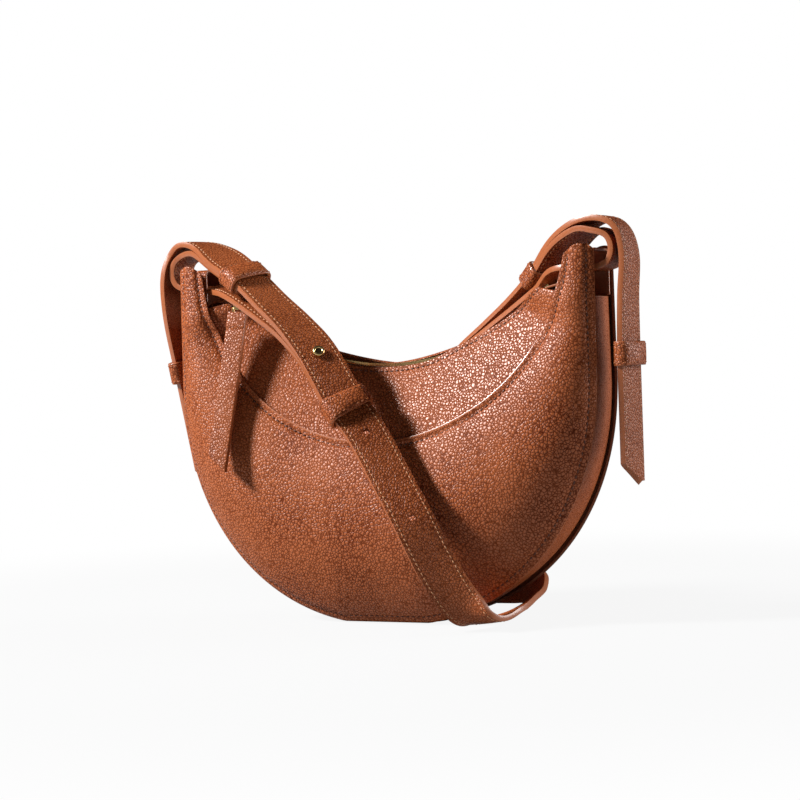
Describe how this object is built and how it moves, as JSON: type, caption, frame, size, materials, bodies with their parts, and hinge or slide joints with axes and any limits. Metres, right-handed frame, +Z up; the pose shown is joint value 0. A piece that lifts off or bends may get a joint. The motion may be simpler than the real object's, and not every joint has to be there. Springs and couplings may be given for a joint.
{
  "type": "half moon shoulder bag",
  "caption": "Half moon leather shoulder bag with domed sides, gusset, arc zip with sliding pull, and a long strap threaded over both horns.",
  "frame": {"origin": "middle of the flat base, where the bag stands", "axes": "+X to the viewer's right along the bag, +Y from the front to the back, +Z up"},
  "size_m": [0.2891, 0.1298, 0.2193],
  "materials": {
    "side_leather": "matte",
    "trim_leather": "matte",
    "strap_leather": "matte",
    "cloth": "matte",
    "foam": "matte",
    "board": "matte",
    "brass": "polished"
  },
  "bodies": {
    "bag": {"front_panel": "side_leather", "front_yoke": "side_leather", "back_panel": "side_leather", "back_yoke": "side_leather", "gusset": "trim_leather", "left_horn_bridge": "trim_leather", "right_horn_bridge": "trim_leather", "left_end_cap": "trim_leather", "right_end_cap": "trim_leather", "front_foam": "foam", "back_foam": "foam", "base_board": "board", "lining": "cloth", "inner_pocket": "cloth", "front_zip_tape": "cloth", "back_zip_tape": "cloth", "front_zip_teeth": "brass", "back_zip_teeth": "brass", "left_zip_stop": "brass", "right_zip_stop": "brass", "main_strap": "strap_leather", "left_anchor_strap": "strap_leather", "right_anchor_strap": "strap_leather", "front_upper_keeper": "strap_leather", "back_upper_keeper": "strap_leather", "left_stud": "brass", "right_stud": "brass"},
    "slider": {"zip_slider": "brass"},
    "ring": {"pull_ring": "brass"},
    "pull": {"leather_pull": "trim_leather"},
    "front_keeper": {"front_lower_keeper": "strap_leather"},
    "back_keeper": {"back_lower_keeper": "strap_leather"},
    "left_keeper": {"left_tail_keeper": "strap_leather"},
    "right_keeper": {"right_tail_keeper": "strap_leather"}
  },
  "joints": [
    {"name": "slider_run", "type": "hinge", "parent": "bag", "child": "slider", "pos_m": [0, 0, 0.27945], "axis": [0, -1, 0], "range_deg": [0, 81.5]},
    {"name": "ring_hang", "type": "hinge", "parent": "slider", "child": "ring", "pos_m": [-0.08637, -0.0211, 0.1797], "axis": [0, -1, 0], "range_deg": [-85, 3]},
    {"name": "pull_swing", "type": "hinge", "parent": "ring", "child": "pull", "pos_m": [-0.08659, -0.0211, 0.1734], "axis": [-0.9994, 0, 0.0349], "range_deg": [0, 60]},
    {"name": "front_keeper_slide", "type": "slide", "parent": "bag", "child": "front_keeper", "axis": [0.5875, -0.1582, -0.7936], "range_m": [-0.004, 0.004]},
    {"name": "back_keeper_slide", "type": "slide", "parent": "bag", "child": "back_keeper", "axis": [0.6692, -0.1698, 0.7234], "range_m": [-0.004, 0.004]},
    {"name": "left_tail_keeper_slide", "type": "slide", "parent": "bag", "child": "left_keeper", "axis": [-0.0695, -0.1998, 0.9774], "range_m": [-0.035, 0.002]},
    {"name": "right_tail_keeper_slide", "type": "slide", "parent": "bag", "child": "right_keeper", "axis": [0, 0, 1], "range_m": [-0.035, 0.002]}
  ],
  "couplings": [
    {"joint": "ring_hang", "follows": "slider_run", "ratio": -1}
  ]
}
